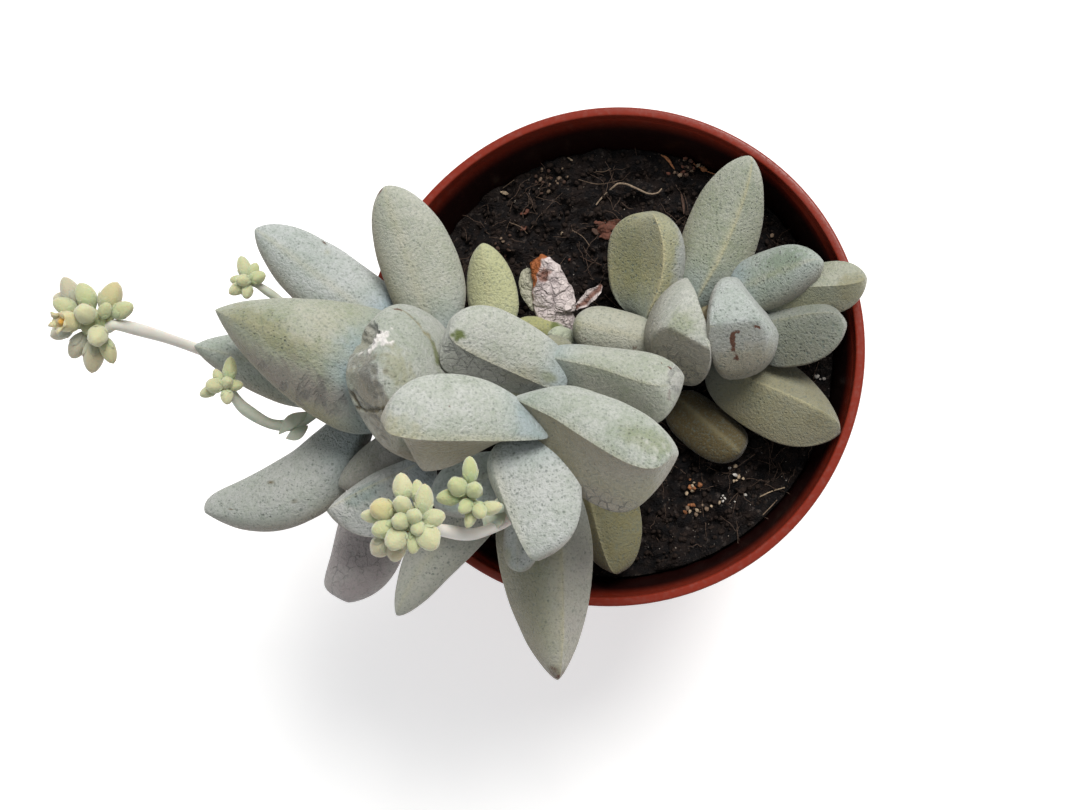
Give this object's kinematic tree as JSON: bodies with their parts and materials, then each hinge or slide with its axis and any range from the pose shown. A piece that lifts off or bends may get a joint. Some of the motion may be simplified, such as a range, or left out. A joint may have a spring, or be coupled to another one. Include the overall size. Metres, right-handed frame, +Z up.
{
  "type": "potted succulent plant",
  "caption": "Small horned crassula with thick keeled leaves in crossed pairs on leaning shoots and small flower sprays, growing in soil in a round tapered plastic nursery pot.",
  "frame": {"origin": "centre of the flat underside of the pot", "axes": "+Z up along the pot's axis; seen from above, +X to the right, away from the shoot that lies over the rim, and +Y away from the leaning middle shoot"},
  "size_m": [0.0834, 0.0618, 0.0833],
  "materials": {
    "pot": "satin",
    "soil": "matte",
    "leaf": "matte",
    "young_leaf": "matte",
    "stem": "matte",
    "stalk": "matte",
    "bud": "matte",
    "withered": "matte"
  },
  "bodies": {
    "root": {"pot": "pot", "soil": "soil", "centre_stem": "stem", "left_stem": "stem", "right_stem": "stem", "young_stem": "stem", "flower_stalk_1": "stalk", "flower_head_1": "bud", "flower_stalk_2": "stalk", "flower_head_2": "bud", "flower_stalk_3": "stalk", "flower_head_3": "bud", "flower_stalk_4": "stalk", "flower_head_4": "bud", "flower_stalk_5": "stalk", "flower_head_5": "bud", "centre_leaf_1": "leaf", "centre_leaf_2": "leaf", "centre_leaf_3": "leaf", "centre_leaf_4": "leaf", "centre_leaf_5": "leaf", "centre_leaf_6": "leaf", "centre_leaf_7": "leaf", "centre_leaf_8": "leaf", "centre_leaf_9": "leaf", "centre_leaf_10": "leaf", "centre_leaf_11": "leaf", "centre_leaf_12": "leaf", "centre_leaf_13": "leaf", "left_leaf_1": "leaf", "left_leaf_2": "leaf", "left_leaf_3": "leaf", "left_leaf_4": "leaf", "left_leaf_5": "leaf", "left_leaf_6": "leaf", "left_leaf_7": "leaf", "left_leaf_8": "leaf", "left_leaf_9": "leaf", "left_leaf_10": "leaf", "left_leaf_11": "leaf", "right_leaf_1": "leaf", "right_leaf_2": "leaf", "right_leaf_3": "leaf", "right_leaf_4": "leaf", "right_leaf_5": "leaf", "right_leaf_6": "leaf", "right_leaf_7": "leaf", "right_leaf_8": "leaf", "right_leaf_9": "leaf", "right_leaf_10": "leaf", "young_leaf_1": "young_leaf", "young_leaf_2": "young_leaf", "young_leaf_3": "young_leaf", "withered_leaf": "withered"}
  },
  "joints": []
}
